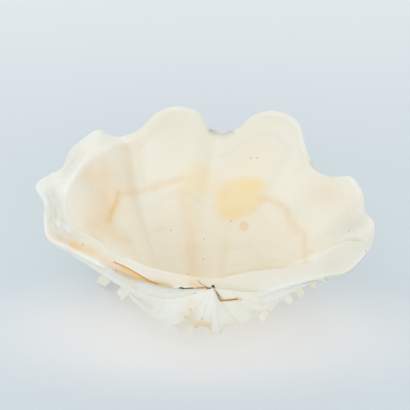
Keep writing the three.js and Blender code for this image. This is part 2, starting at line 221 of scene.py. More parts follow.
# Painted highlight along the lit upper lip of the ligament's slit
LIGAMENT_HIGHLIGHT = [(113, 261), (122, 263.5), (132, 268.5), (143, 275), (153, 280.5)]
SHELF_ORANGE = [(74, 246), (82, 249), (90, 251)]
SHELF_YELLOW = [(48, 238), (60, 240), (70, 243)]
SHELF_PINK = [(96, 255), (108, 262), (120, 270), (135, 279)]
HINGE_SHADOW = [(222, 277), (240, 273), (255, 270.5), (270, 269), (290, 267), (310, 262)]
LIP_SHADOW = [(92, 235), (104, 244), (111, 251), (124, 257)]
HINGE_INNER = [(150, 268), (185, 276), (222, 279), (255, 272), (300, 267)]
HINGE_PINK = [(160, 281), (176, 284), (200, 284)]
HINGE_AMBER = [(192, 284), (200, 287), (211, 288)]
BLACK_CRACK = [(179, 288), (183, 288.5), (193, 288)]
BLACK_BLOB = [(181, 287.6), (183, 288.3)]
FINE_CRACK = [(198, 280.5), (201, 284), (207, 287)]
CENTRE_CRACK = [(207, 288.5), (215, 288)]
CENTRE_HOLE = (213, 286.5)
BEAK_CRACK = [(214, 289), (217, 293), (219.5, 299), (221, 300.5), (230, 300), (237, 299)]
BEAK_CRACK_END = [(236, 299), (241, 299.5)]
SHORT_CRACK = [(219, 295), (222.5, 298.5)]
DIRT_SPOTS = [(202, 319), (196, 327), (186, 317), (191, 310), (194.5, 293.5), (116, 270), (83, 244.5)]
BEAK_STAIN = [(197, 325), (207, 326)]
BEAK_OCHRE = [(186, 316), (192, 322), (190, 304)]

# What each mark is made of: the kind of edge, the line, how far it spreads in pixels, and its strength
SCAR_PATCHES = [(ADDUCTOR_SCAR, 5, 1), (RETRACTOR_SCAR, 12, 0.62)]
SCAR_MARKS = [("frayed", SCAR_BRIDGE, 12, 0.5)]
PALLIAL_MARKS = [
    ("frayed", PALLIAL_LEFT, 3.2, 0.45),
    ("frayed", PALLIAL_LEFT_STRONG, 3.6, 0.5),
    ("frayed", PALLIAL_STREAK, 3.6, 1.0),
    ("frayed", PALLIAL_TAIL, 6, 0.35),
    ("frayed", PALLIAL_RIGHT, 4, 0.42),
    ("frayed", PALLIAL_RIGHT_STRONG, 3, 0.3),
]
# The orange and yellow streaks and the lobe patch are the shell's own colour; the bowl and trough B strokes
# are painted shade
PEACH_AND_SHADE_MARKS = [
    ("frayed", PEACH_BOWL_SHADE, 19, 0.95),
    ("plain", PEACH_LOBE, 15, 0.55),
    ("frayed", PEACH_STREAK, 9, 0.5),
    ("frayed", PEACH_STREAK_LOW, 10, 0.3),
    ("frayed", YELLOW_STREAK, 4, 0.5),
    ("frayed", TROUGH_B_SHADE, 8, 0.3),
]
STAIN_MARKS = [
    ("plain", SHELF_ORANGE, 5, 0.9),
    ("plain", SHELF_YELLOW, 5, 0.45),
    ("plain", SHELF_PINK, 6, 0.5),
    ("plain", HINGE_PINK, 8, 0.22),
    ("plain", HINGE_INNER, 9, 0.1),
    ("plain", HINGE_AMBER, 2.5, 0.8),
    ("plain", BEAK_STAIN, 5, 0.8),
    ("plain", BEAK_OCHRE, 7, 0.4),
]
# Whitening that is partly the shell's chalky colour and partly painted highlight
CHALK_AND_HIGHLIGHT_MARKS = [
    ("plain", LIT_CHALK_CREST, 4, 1.0),
    ("plain", LIT_CHALK_TIP, 3, 0.9),
    ("plain", LIT_CHALK_EDGE, 2.5, 0.8),
    ("plain", LIT_CHALK_BUMPS, 2.5, 0.7),
]
# Strokes of painted shade
GREY_SHADE_MARKS = [
    ("plain", SHADED_FACET, 12, 0.2),
    ("plain", SHADED_FLANGE, 16, 0.22),
    ("plain", SHADED_DIP_C, 3, 1.0),
    ("plain", SHADED_DIP_D, 2.4, 0.6),
]
SHADOW_MARKS = [("plain", HINGE_SHADOW, 2, 0.5), ("plain", LIP_SHADOW, 1.8, 0.6)]

# Tints are red, green and blue as hex digits. First the ground colours of the shell
OUTSIDE_TINT = "F1F1E7"
INSIDE_TINT = "F6EEDB"
MARGIN_TINT = "F1F1E8"
MARGIN_STRENGTH = 0.6
MARGIN_AGES = 0.35, 0.85
MARGIN_CLOUDS = 0.5
PLATE_TINT = "E3DFCF"
PLATE_STRENGTH = 0.55

# Washes over them: the grain they follow, where they begin and are full, their tint and strength
WASHES = [
    ("clouds", 0.45, 0.75, "F2E4C8", 0.42),
    ("streaks", 0.5, 0.75, "F3EFDF", 0.30),
    ("growth lines", 0.52, 0.72, "E3DDC8", 0.22),
]

# Soft marks kept at the mesh's points: their tint and strength, and how the mottle breaks them up
SOFT_MARKS = [
    # Painted shade darkening the creases and the hinge's shadow lines
    ("crease_shade", "CBC0A3", 0.5),
    # Painted shade, cool and dark
    ("grey_shade", "BFBEB2", 0.9),
    # The shell's own blush, with painted warm shade in the bowl and trough B
    ("peach_and_shade", "F1D6B0", 0.72),
    ("scar", "FAE1AA", 0.8),
    ("pallial", "EFC88C", 0.8),
    ("stain", "F0C88E", 0.9),
    # Partly chalky white, partly painted highlight
    ("chalk", "F8F9F5", 0.9),
]
MOTTLE_RANGE = 0.25, 0.75
MOTTLE_STRENGTH = 0.65, 1.1

# Crisp marks drawn over the rest: lines, width and softness in pixels, tint and strength
CRISP_MARKS = [
    ([RING_SPOT], 6, 3, "EBCF9C", 0.6),
    ([RING_SPOT], 1, 3, "F0E2C2", 0.7),
    (PITS, 0.3, 1.1, "7A6E55", 0.5),
    (DIRT_SPOTS, 0.5, 1.7, "A29C82", 0.35),
    # Painted highlight on the slit's upper lip
    ([LIGAMENT_HIGHLIGHT], 0.6, 1.6, "F7F6F0", 0.4),
    ([LIGAMENT], 0.9, 1.8, "F0C88C", 0.75),
    ([LIGAMENT_WIDE], 2.4, 1.9, "F4CA86", 0.8),
    ([LIGAMENT_CORE], 0.2, 0.9, "A0602A", 0.6),
    ([BEAK_CRACK], 1.6, 1.8, "EFC48C", 0.7),
    ([BEAK_CRACK_END], 1.0, 1.4, "EDB56E", 0.7),
    ([BEAK_CRACK], 0.3, 0.8, "6E4A24", 0.9),
    ([FINE_CRACK, SHORT_CRACK], 0.2, 0.8, "9A6A48", 0.7),
    ([BLACK_CRACK, CENTRE_CRACK], 0.3, 0.9, "3A2018", 0.9),
    ([BLACK_BLOB], 0.7, 1.0, "2A1C12", 0.85),
    ([CENTRE_HOLE], 2.0, 1.3, "1A100A", 1.0),
]

# Grain of the shell: whether it follows the body or the growth, its scale, detail and stretch
GRAIN = {
    "clouds": ("body", 14, 4, (1, 1, 1)),
    "mottle": ("body", 60, 5, (1, 1, 1)),
    "streaks": ("growth", 90, 4, (1, 0.06, 1)),
    "growth lines": ("growth", 110, 3, (0.05, 1, 1)),
    "pores": ("body", 420, 3, (1, 1, 1)),
}
ROUGH_OUTSIDE = 0.55
ROUGH_INSIDE = 0.36
ROUGH_MOTTLE = 0.2
STREAK_HEIGHT = 0.6
FINE_RELIEF = [("growth lines", 1.4, 0.25), ("pores", 0.35, 0.06)]  # more outside, height inside
FINE_RELIEF_STRENGTH = 0.55
FINE_RELIEF_METRES = 0.0012

# The paper floor, and the painted light it gives off as linear colours: round the shell, out to the sides, at
# the back
FLOOR_SIDE = 8.0
PAPER_COLOUR = (0.45, 0.48, 0.50, 1)
PAPER_ROUGHNESS = 0.9
PAINTED_LIGHT_NEAR = (0.42, 0.39, 0.36, 1)
PAINTED_LIGHT_FAR = (0.20, 0.235, 0.25, 1)
PAINTED_LIGHT_BACK = (0.30, 0.31, 0.315, 1)
POOL_FRONT = 0.072
POOL_SQUASH = 0.37
POOL_EDGE = 0.02, 0.112
BACK_EDGE = 0.15, 0.6

# Soft boxes: name, place in metres, side in metres, power in watts
SOFT_BOXES = [
    ("key", (-0.9, 0.3, 1.6), 1.4, 3.2),
    ("front", (0.1, -2.2, 0.7), 1.6, 9.0),
    ("back", (0.3, 1.8, 1.6), 1.4, 6.0),
]
WORLD_COLOUR = (0.95, 0.98, 1.0, 1)
WORLD_LIGHT = 0.84

# The rim, from the beak round by the left end, the scalloped margin and the right end
RIM = [
    ("beak", (0, 0, 0), (0, 14, 7)),
    ("nymph", (-32, 0, 1), (-28, 17, 6)),
    ("slit right", (-53, 3, 1), (-51, 21, 4)),
    ("slit", (-75, 9, 1), (-73, 28, 3)),
    ("slit left", (-97, 18, 1), (-92, 37, 2)),
    ("shelf", (-122, 31, 2), (-108, 49, 0)),
    ("shelf end", (-144, 45, 3), (-123, 58, -3)),
    ("left corner", (-165, 57, 4), (-136, 63, -7)),
    ("left flat", (-169, 75, 3), (-144, 73, -10)),
    ("left hollow", (-170, 95, 0), (-146, 87, -13)),
    ("left tip", (-179, 112, -5), (-145, 102, -15)),
    ("behind tip", (-168, 130, 2), (-140, 116, -14)),
    ("rib A", (-155, 145, 10), (-134, 130, -12)),
    ("behind A", (-149, 158, 2), (-129, 139, -14)),
    ("lobe 2 left", (-138, 162, -10), (-123, 145, -16)),
    ("lobe 2 top", (-118, 171, -20), (-113, 152, -14)),
    ("lobe 2 right", (-108, 177, -2), (-100, 163, -4)),
    ("rib B", (-97, 188, 18), (-87, 178, 14)),
    ("right of B", (-78, 188, 6), (-73, 182, 4)),
    ("lobe 3 left", (-58, 196, -14), (-56, 191, -14)),
    ("lobe 3 top", (-36, 197, -24), (-35, 192, -24)),
    ("lobe 3 right", (-15, 196, -16), (-16, 191, -16)),
    ("left of C", (-4, 192, 6), (-5, 186, 5)),
    ("rib C", (9, 197, 20), (7, 186, 16)),
    ("right of C", (25, 192, 10), (24, 185, 8)),
    ("lobe 4 left", (41, 193, -12), (42, 187, -12)),
    ("lobe 4 top", (62, 191, -25), (61, 186, -25)),
    ("lobe 4 right", (88, 181, -20), (85, 176, -20)),
    ("lobe 4 side", (96, 157, -8), (91, 156, -8)),
    ("rib D", (111, 142, 16), (104, 140, 13)),
    ("right of D", (125, 129, 4), (120, 126, 3)),
    ("lobe 5 top", (140, 115, -16), (137, 110, -16)),
    ("lobe 5 side", (150, 98, -12), (145, 97, -12)),
    ("rib E", (154, 89, 7), (149, 87, 5)),
    ("lobe 6 top", (160, 67, -5), (154, 65, -6)),
    ("rib F", (159, 53, 5), (151, 53, 0)),
    ("lobe 7 side", (150, 37, 0), (130, 50, -2)),
    ("lobe 7", (140, 24, -1), (112, 41, -2)),
    ("right corner", (130, 17, 1), (95, 29, 0)),
    ("right end", (117, 16, 3), (87, 26, 1)),
    ("gape far", (89, 10, 6), (72, 23, 2)),
    ("gape middle", (69, 4, 8), (54, 22, 3)),
    ("gape near", (47, -4, 10), (35, 20, 4)),
    ("crack right", (26, -8, 11), (19, 17, 6)),
    ("crack left", (8, -8, 9), (8, 15, 7)),
]
PLACES = [place for place, outer, inner in RIM]
OUTER = np.array([outer for place, outer, inner in RIM], float)
INNER = np.array([inner for place, outer, inner in RIM], float)

# The ribs: half width at the margin, strength, and the lengths of their scutes by growth stage
RIBS = [
    ("left tip", 17, 1.1, {2: 9, 3: 8}),
    ("rib A", 22, 1.0, {1: 22, 2: 25, 3: 34, 4: 18}),
    ("rib B", 27, 1.0, {0: 23, 1: 22, 2: 21, 3: 21, 4: 15, 5: 13, 6: 10}),
    ("rib C", 27, 1.0, {0: 23, 1: 22, 2: 21, 3: 21, 4: 15, 5: 13, 6: 10}),
    ("rib D", 25, 1.0, {1: 22, 2: 21, 3: 18, 4: 14, 5: 12, 6: 9}),
    ("rib E", 19, 0.85, {1: 18, 2: 16, 3: 15, 4: 12, 5: 9}),
    ("rib F", 13, 0.7, {1: 12, 2: 11}),
]
FEET = {("rib B", 3), ("rib C", 3)}

# How finely the surfaces are worked out
ROUND_THE_RIM = 440
OUTSIDE_ROWS = 60
LIP_ROWS = 14
INSIDE_ROWS = 104
FOLD_SAMPLES = 720
SCUTE_COLUMNS = 27
SCUTE_ROWS = 8
NEAR_ANGLE = 0.01  # steps that find a direction on the surface
NEAR_SHARE = 0.002
CORNER_CUTS = 3
SPACING_POWER = 0.75  # under 1, so short stretches of the rim get more than their length's share
WANDER_WAVES = 7
WANDER_STEP = 1.35  # from the pace of one wave to the next
WELD_METRES = 0.00001
NO_LENGTH = 1e-6  # keeps a stroke that is a single place from dividing by zero

# What every point of the shell carries: growth and map, place in the picture, and masks
WALL_VALUES = (
    "age", "lip", "round", "travel", "across", "down", "front", "plate", "crease_shade", "scar", "pallial", "peach_and_shade",
    "stain", "chalk", "grey_shade",
)

steps = np.linalg.norm(np.roll(OUTER, -1, 0) - OUTER, axis=1) ** SPACING_POWER
SHARES = np.concatenate([[0], np.cumsum(steps) / steps.sum()])


def share_of(place):
    """How far round the rim a place is, as a share of the whole way."""
    return SHARES[PLACES.index(place)]


def smoothstep(x, low, high):
    """0 below low, 1 above high, and 3t^2 - 2t^3 between them."""
    t = np.clip((x - low) / (high - low), 0, 1)
    return t * t * (3 - 2 * t)


def rim_curve(edge, share):
    """A smooth closed curve through one edge of the rim. Between two places it is the cubic that leaves
    and arrives with slopes averaged over the neighbouring gaps."""
    u = np.mod(share, 1)
    i = np.clip(np.searchsorted(SHARES, u, side="right") - 1, 0, len(edge) - 1)
    gaps = np.diff(SHARES)
    before, here, after = (gaps[(i + k) % len(edge)][..., None] for k in (-1, 0, 1))
    p0, p1, p2, p3 = (edge[(i + k) % len(edge)] for k in (-1, 0, 1, 2))
    t = (u - SHARES[i])[..., None] / here
    leave = ((p1 - p0) / before * here + (p2 - p1) / here * before) / (before + here)
    arrive = ((p2 - p1) / here * after + (p3 - p2) / after * here) / (here + after)
    return (
        (2 * t**3 - 3 * t**2 + 1) * p1
        + (t**3 - 2 * t**2 + t) * here * leave
        + (3 * t**2 - 2 * t**3) * p2
        + (t**3 - t**2) * here * arrive
    )


def size_at(angle, rate, end):
    """What is left of the margin's size after an angle: exp(-rate angle), closed at the end."""
    return np.exp(-rate * angle) * (1 - (np.maximum(angle, 0) / end) ** CURL_POWER)


def grown(point, pole, angle, rate, end, held=0):
    """The point shrunk towards the pole and turned about the hinge line. One that lies further round
    already turns less, in proportion to what is left of the half turn. Where the turn is held it nears
    HOLD_FROM + HOLD_OVER as 1 - exp(-x), so the outside stays under the front edge of the hinge plate."""
    size = size_at(angle, rate, end)
    away = point - pole
    reach = np.hypot(away[..., 1], away[..., 2])
    bearing = np.arctan2(away[..., 2], away[..., 1])
    turned = bearing + angle * (math.pi - bearing) / math.pi
    over = np.maximum(turned - HOLD_FROM, 0)
    turned = turned - held * (over - HOLD_OVER * (1 - np.exp(-over / HOLD_OVER)))
    return np.stack(
        [
            pole[0] + size * away[..., 0],
            pole[1] + size * reach * np.cos(turned),
            pole[2] + size * reach * np.sin(turned),
        ],
        -1,
    )


def rib_swell(share, angle=0):
    """Height of the ribs over the margin's own folds: strength exp(-across^4), added over the ribs.
    Near the beak they are wider, stand higher for their size and have gullies between them."""
    old = smoothstep(angle, *RIB_OLD)
    total, covered = 0, 0
    for place, half_width, strength, scutes in RIBS:
        across = (share - share_of(place)) * MARGIN_LENGTH / half_width / (1 + RIB_WIDER_OLD * old)
        bump = np.exp(-(across**4))
        total = total + RIB_SWELL * strength * (1 + RIB_SWELL_OLD * old) * bump
        covered = covered + bump
    ribbed = smoothstep(share, share_of("shelf"), share_of("left tip"))
    ribbed = ribbed * (1 - smoothstep(share, share_of("rib F"), share_of("lobe 7")))
    return total - GULLY_OLD * old * ribbed * np.clip(1 - covered, 0, 1)


def outside(share, angle):
    """The outside of the wall: the outer edge, pushed out by the ribs, shrunk and turned. Along the
    right of the hinge it sags by size (1 - size), so that it passes under the hinge plate."""
    edge = rim_curve(OUTER, share)
    swell = rib_swell(share, angle) * smoothstep(angle, 0, RIB_START) / math.hypot(1, OUTSIDE_RATE)
    edge = edge + swell[..., None] * np.array([0, 1, OUTSIDE_RATE])
    held = smoothstep(share, share_of("right of C"), share_of("rib D"))
    point = grown(edge, OUTER[0], angle, OUTSIDE_RATE, OUTSIDE_TURN, held)
    size = size_at(angle, OUTSIDE_RATE, OUTSIDE_TURN)
    under = smoothstep(share, share_of("lobe 7"), share_of("gape far"))
    under = under * (1 - smoothstep(share, share_of("crack left"), 1))
    point[..., 2] += HINGE_SAG * under * size * (1 - size)
    return point


def inside_folds():
    """The inner edge less its own weighted moving average, along the scalloped margin only."""
    samples = FOLD_SAMPLES
    share = np.arange(samples) / samples
    edge = rim_curve(INNER, share)
    spread = FOLD_WIDTH / MARGIN_LENGTH * samples
    k = np.arange(samples)
    weight = np.exp(-0.5 * (np.minimum(k, samples - k) / spread) ** 2)
    spectrum = np.fft.rfft(weight / weight.sum())[:, None]
    smooth = np.fft.irfft(np.fft.rfft(edge, axis=0) * spectrum, samples, axis=0)
    scalloped = smoothstep(share, share_of("left tip"), share_of("lobe 2 left")) * (
        1 - smoothstep(share, share_of("lobe 6 top"), share_of("lobe 7 side"))
    )
    return share, scalloped[:, None] * (edge - smooth)


FOLD_SHARES, FOLDS = inside_folds()


def fold_at(share):
    """The fold between samples."""
    return np.stack([np.interp(share, FOLD_SHARES, FOLDS[:, k], period=1) for k in range(3)], -1)


def inside(share, angle):
    """The inside of the wall: folds fade as 1 / (1 + (angle / fade)^power) and lean to the left."""
    kept = 1 / (1 + (angle / INSIDE_FADE) ** FADE_POWER)
    lean = smoothstep(share, share_of("left hollow"), share_of("rib B")) * (
        1 - smoothstep(share, share_of("rib D"), share_of("rib E"))
    )
    edge = rim_curve(INNER, share) - fold_at(share)
    moved = fold_at(share + FOLD_DRIFT * lean * angle / MARGIN_LENGTH)
    return grown(edge + kept[..., None] * moved, INNER[0], angle, INSIDE_RATE, INSIDE_TURN)


def band(share, across):
    """The lip and hinge plate: outer edge to inner edge, crowned, with the ligament's groove, bowed
    folds of cos(along) on the right of the beak, and growth ridges of sin(across) on the left facet."""
    along = smoothstep(share, share_of("nymph"), share_of("slit right")) * (
        1 - smoothstep(share, share_of("slit left"), share_of("shelf"))
    )
    groove = GROOVE_DEPTH * along * np.clip(1 - np.abs(across - GROOVE_PLACE) / GROOVE_PLACE, 0, 1)
    crown = LIP_ROUNDING * 4 * across * (1 - across)
    t = across[..., None]
    flat = rim_curve(OUTER, share) * (1 - t) + rim_curve(INNER, share) * t
    along = flat[..., 0] - PLICA_BOW * crown / LIP_ROUNDING
    plicae = np.cos(2 * math.pi * along / PLICA_STEP)
    plicae = plicae * smoothstep(share, share_of("gape far"), share_of("gape near"))
    plicae = PLICA_HEIGHT * plicae * smoothstep(flat[..., 0], *PLICAE_START) * crown / LIP_ROUNDING
    plicae = plicae * (1 - smoothstep(flat[..., 0], *PLICAE_END))
    facet = smoothstep(share, share_of("shelf"), share_of("left corner")) * (
        1 - smoothstep(share, share_of("rib A"), share_of("lobe 2 top"))
    )
    strays = FACET_WANDER * wander(FACET_PACE[0] * share, FACET_PACE[1] * across, FACET_SEED)
    ridges = np.sin(2 * math.pi * (FACET_RIDGES * across + strays))
    ridges = FACET_RIDGE * facet * ridges * across * (1 - across) * 4
    flat[..., 2] += groove - crown - plicae - ridges
    return flat


def upright(point):
    """(along, back, down from the opening) turned into the part's x, y, z, with the beak at zero."""
    along, back, drop = point[..., 0], point[..., 1], point[..., 2]
    cos, sin = math.cos(RIM_TILT), math.sin(RIM_TILT)
    return np.stack([along, back * cos + drop * sin, back * sin - drop * cos], -1)


def stage_angles(count, rate, end):
    """Angles that step evenly along the wall from 0 to the end of the turn."""
    whole = 1 - math.exp(-rate * end)
    return -np.log(1 - whole * np.arange(count + 1) / count) / rate


def wall():
    """The wall as one grid, rows from the beak's outside over the lip to the beak's inside, with the
    angle of each row, how far over the lip it is, and the share of each column."""
    share = np.arange(ROUND_THE_RIM) / ROUND_THE_RIM
    out_angle = stage_angles(OUTSIDE_ROWS, OUTSIDE_RATE, OUTSIDE_TURN)[::-1]
    in_angle = stage_angles(INSIDE_ROWS, INSIDE_RATE, INSIDE_TURN)
    across = np.linspace(0, 1, LIP_ROWS + 1)[1:-1]
    s = share[None, :]
    rows = [
        outside(s + 0 * out_angle[:, None], out_angle[:, None] + 0 * s),
        band(s + 0 * across[:, None], across[:, None] + 0 * s),
        inside(s + 0 * in_angle[:, None], in_angle[:, None] + 0 * s),
    ]
    lip = np.concatenate([0 * out_angle, across, 1 + 0 * in_angle])
    angle = np.concatenate([out_angle, 0 * across, in_angle])
    return upright(np.concatenate(rows)), angle, lip, share


def rib_frame(share, angle):
    """Directions at a place on the outside: here, back along the rib to the margin, and outwards."""
    here = upright(outside(share, angle))
    back = here - upright(outside(share, angle + NEAR_ANGLE))
    beside = upright(outside(share + NEAR_SHARE, angle)) - here
    back /= np.linalg.norm(back, axis=-1, keepdims=True)
    out = np.cross(back, beside)
    out /= np.linalg.norm(out, axis=-1, keepdims=True)
    return here, back, out


def stage_angle(stage):
    """The angle turned from the margin at a growth stage."""
    return math.radians(SCUTE_FIRST_STAGE + stage * SCUTE_STAGE_STEP)


def foot_height(place, stage, level):
    """The length that brings the middle of a scute's edge down to a level."""
    here, back, out = rib_frame(np.array(share_of(place)), np.array(stage_angle(stage)))
    lean = SCUTE_FLARE + SCUTE_CURL
    return (here[2] - level) / -(out[2] * math.sin(lean) + back[2] * math.cos(lean))


def scute(place, half_width, stage, height):
    """One scute as a closed leaf: half a funnel that rises from the rib and both its flanks and opens to
    the margin. Over the width v its length is its height times (1 - |v|^round)^ends, its lean from the rib
    is the flare less a part that grows as v^2, and folds of cos(v) follow the riblets out to its edge.
    The two sides of the leaf meet round the free edge and at both ends."""
    angle = stage_angle(stage)
    v = np.linspace(-1, 1, SCUTE_COLUMNS)[None, :]
    climb = np.concatenate([np.linspace(0, 1, SCUTE_ROWS), np.linspace(1, 0, SCUTE_ROWS)])[:, None]
    side = np.concatenate([np.ones(SCUTE_ROWS), -np.ones(SCUTE_ROWS)])[:, None]
    share = share_of(place) + v * SCUTE_SPREAD * half_width / MARGIN_LENGTH + 0 * climb
    here, back, out = rib_frame(share, angle + 0 * share)
    middle = out[:, SCUTE_COLUMNS // 2, None]
    out = out + SCUTE_GATHER * (middle - out)
    out = out - back * (out * back).sum(-1, keepdims=True)
    out /= np.linalg.norm(out, axis=-1, keepdims=True)
    lean = (SCUTE_FLARE - SCUTE_CUP * v**2 + SCUTE_CURL * climb)[..., None]
    ragged = 1
    for depth, pace, shift in SCUTE_RAGGED:
        ragged = ragged + depth * np.sin(pace * v + shift * stage)
    reach = height * ragged * np.clip(1 - np.abs(v) ** SCUTE_ROUND, 0, 1) ** SCUTE_ROUND_ENDS
    length = -SCUTE_SINK + climb * (SCUTE_SINK + reach)
    ends = np.sqrt(np.clip(1 - (np.abs(v) ** SCUTE_TAPER), 0, 1))
    edge = ends * np.sqrt(np.clip(1 - climb**SCUTE_EDGE_POWER, SCUTE_EDGE_LEFT, 1))
    half = side * (SCUTE_ROOT + (SCUTE_TIP - SCUTE_ROOT) * climb) / 2 * edge
    half = half + SCUTE_FOLD * climb * (1 - v**2) * np.cos(SCUTE_FOLDS * math.pi * v)
    along = out * np.sin(lean) + back * np.cos(lean)
    thick = out * np.cos(lean) - back * np.sin(lean)
    return here + along * length[..., None] + thick * half[..., None], share, angle + 0 * share


def grid_faces(rows, columns, closed_rows=False, closed_columns=False):
    """Quads of a grid of points, closed round its rows or its columns if asked."""
    i = np.arange(rows if closed_rows else rows - 1)[:, None]
    j = np.arange(columns if closed_columns else columns - 1)[None, :]
    down, right = (i + 1) % rows, (j + 1) % columns
    quads = [i * columns + j, down * columns + j, down * columns + right, i * columns + right]
    return np.stack([q + 0 * i + 0 * j for q in quads], -1).reshape(-1, 4)


def signed_volume(points, faces):
    """Sum of p . (q x r) / 6 over the triangles, which is above zero where the faces point outwards."""
    p, q, r, s = (points[faces[:, k]] for k in range(4))
    return (np.einsum("ij,ij->i", p, np.cross(q, r)) + np.einsum("ij,ij->i", p, np.cross(r, s))).sum()


def closed_mesh(name, parts):
    """One mesh of several closed grids: each part has its points, its faces and its point values. Its map
    runs with the growth: across by the share of the way round, up by the way travelled."""
    points, faces, offset = [], [], 0
    for p, f, values in parts:
        flat = p.reshape(-1, 3)
        points.append(flat)
        faces.append((f if signed_volume(flat, f) > 0 else f[:, ::-1]) + offset)
        offset += len(flat)
    points, faces = np.concatenate(points), np.concatenate(faces)
    mesh = bpy.data.meshes.new(name)
    mesh.from_pydata(points * MM, [], faces.tolist())
    kept = {}
    for key in parts[0][2]:
        spread = [np.broadcast_to(values[key], p.shape[:-1]).ravel() for p, f, values in parts]
        kept[key] = np.concatenate(spread).astype(np.float32)
        mesh.attributes.new(key, "FLOAT", "POINT").data.foreach_set("value", kept[key])
    mesh.polygons.foreach_set("use_smooth", np.ones(len(mesh.polygons), bool))
    corner = np.empty(len(mesh.loops), np.int32)
    mesh.loops.foreach_get("vertex_index", corner)
    u = kept["round"][corner].reshape(-1, 4)
    u = u + (u.max(1, keepdims=True) - u > 0.5)
    growth = np.stack([u.ravel() * MARGIN_LENGTH * MM, kept["travel"][corner]], -1)
    mesh.uv_layers.new(name="growth").data.foreach_set("uv", growth.ravel().astype(np.float32))
    mesh.update()
    return mesh


def slopes_out(points):
    """Unit normals of the wall's grid: the cross product of the steps along its rows and columns."""
    down = np.gradient(points, axis=0)
    right = (np.roll(points, -1, 1) - np.roll(points, 1, 1)) / 2
    normal = np.cross(down, right)
    return normal / np.maximum(np.linalg.norm(normal, axis=-1, keepdims=True), 1e-9)


def wander(x, y, seed):
    """A slow random surface: a sum of sines whose directions and phases come from the seed. Each is
    divided by the root of its pace, and their sum by 3 to stay near -1 to 1."""
    draw = np.random.default_rng(seed)
    total = 0
    for k in range(WANDER_WAVES):
        turn, phase = draw.uniform(0, 2 * math.pi, 2)
        pace = WANDER_STEP**k
        total = total + np.sin(pace * (x * math.cos(turn) + y * math.sin(turn)) + phase) / pace**0.5
    return total / 3


def on_rib(share):
    """1 on the crest of a rib and 0 between the ribs."""
    return np.clip(rib_swell(share) / RIB_SWELL, 0, 1)


def seen_at(points):
    """Where the camera sees a point, given from the beak: along and up from the lens's axis over depth,
    times the lens's length in pixels."""
    sin, cos = math.sin(CAMERA_ELEVATION), math.cos(CAMERA_ELEVATION)
    aside = points[..., 0] - CAMERA_ASIDE
    up = points[..., 1] * sin + points[..., 2] * cos - CAMERA_RISE
    depth = points[..., 1] * cos - points[..., 2] * sin + CAMERA_DISTANCE
    scale = PICTURE * LENS / SENSOR / depth
    return np.stack([PICTURE / 2 + scale * aside, PICTURE / 2 - scale * up], -1)


def eye_place():
    """The camera's own place, from the beak."""
    sin, cos = math.sin(CAMERA_ELEVATION), math.cos(CAMERA_ELEVATION)
    return np.array(
        [CAMERA_ASIDE, CAMERA_RISE * sin - CAMERA_DISTANCE * cos, CAMERA_RISE * cos + CAMERA_DISTANCE * sin]
    )


def towards_camera(points, normals):
    """Cosine of the angle between the normal and the way to the camera."""
    way = eye_place() - points
    way /= np.linalg.norm(way, axis=-1, keepdims=True)
    return (way * normals).sum(-1)


def in_sight(points):
    """1 where the wall's grid faces the camera, and 0 where it turns away."""
    return smoothstep(towards_camera(points, slopes_out(points)), *FACING)


def rounded(line, closed=False):
    """A line with its corners cut: each piece keeps its points at a quarter and three quarters, over and
    over, and an open line keeps its ends."""
    line = np.array(line, float).reshape(-1, 2)
    for _ in range(CORNER_CUTS if len(line) > 2 else 0):
        start, end = (line, np.roll(line, -1, 0)) if closed else (line[:-1], line[1:])
        cut = np.stack([0.75 * start + 0.25 * end, 0.25 * start + 0.75 * end], 1).reshape(-1, 2)
        line = cut if closed else np.concatenate([line[:1], cut[1:-1], line[-1:]])
    return line


def distance_to(place, line):
    """Distance in the picture to the nearest point of a line of straight pieces."""
    if len(line) == 1:
        return np.linalg.norm(place - line[0], axis=-1)
    best = np.full(place.shape[:-1], np.inf)
    for start, end in zip(line[:-1], line[1:]):
        along = end - start
        t = np.clip(((place - start) @ along) / (along @ along), 0, 1)
        best = np.minimum(best, np.linalg.norm(place - start - t[..., None] * along, axis=-1))
    return best


def stroke(place, line, width):
    """exp(-(distance / width)^2) from a line in the picture."""
    return np.exp(-((distance_to(place, rounded(line)) / width) ** 2))


def patch(place, outline, soft):
    """1 inside an outline and 0 outside it, with an edge that is 2 soft wide."""
    ring = rounded(outline, closed=True)
    ring = np.concatenate([ring, ring[:1]])
    within = np.zeros(place.shape[:-1], bool)
    x, y = place[..., 0], place[..., 1]
    for (x0, y0), (x1, y1) in zip(ring[:-1], ring[1:]):
        crosses = (y0 > y) != (y1 > y)
        within ^= crosses & (x < (x1 - x0) * (y - y0) / (y1 - y0 + 1e-9) + x0)
    away = distance_to(place, ring) * np.where(within, 1, -1)
    return smoothstep(away, -soft, soft)


def strokes_of(marks, edges):
    """The strokes of a mark, each at its strength, on plain or frayed places in the picture."""
    return [strength * stroke(edges[edge], line, spread) for edge, line, spread, strength in marks]


def added(layers):
    """Layers one over the other: their sum, kept between 0 and 1."""
    return np.clip(sum(layers), 0, 1)


def creases(points):
    """How hollow the grid is at each point: its neighbours' mean height along the normal over their
    distance, smoothed into 0 on flat and bulging stretches and 1 in a hollow, for painted shade."""
    normal = slopes_out(points)
    total = 0
    for rows, columns in ((CREASE_REACH, 0), (0, CREASE_REACH)):
        near = [np.roll(points, (sign * rows, sign * columns), (0, 1)) - points for sign in (-1, 1)]
        apart = np.linalg.norm(near[0], axis=-1) + np.linalg.norm(near[1], axis=-1)
        total = total + ((near[0] + near[1]) * normal).sum(-1) / np.maximum(apart, CREASE_LEAST)
    return smoothstep(total, *CREASE_DEPTHS)


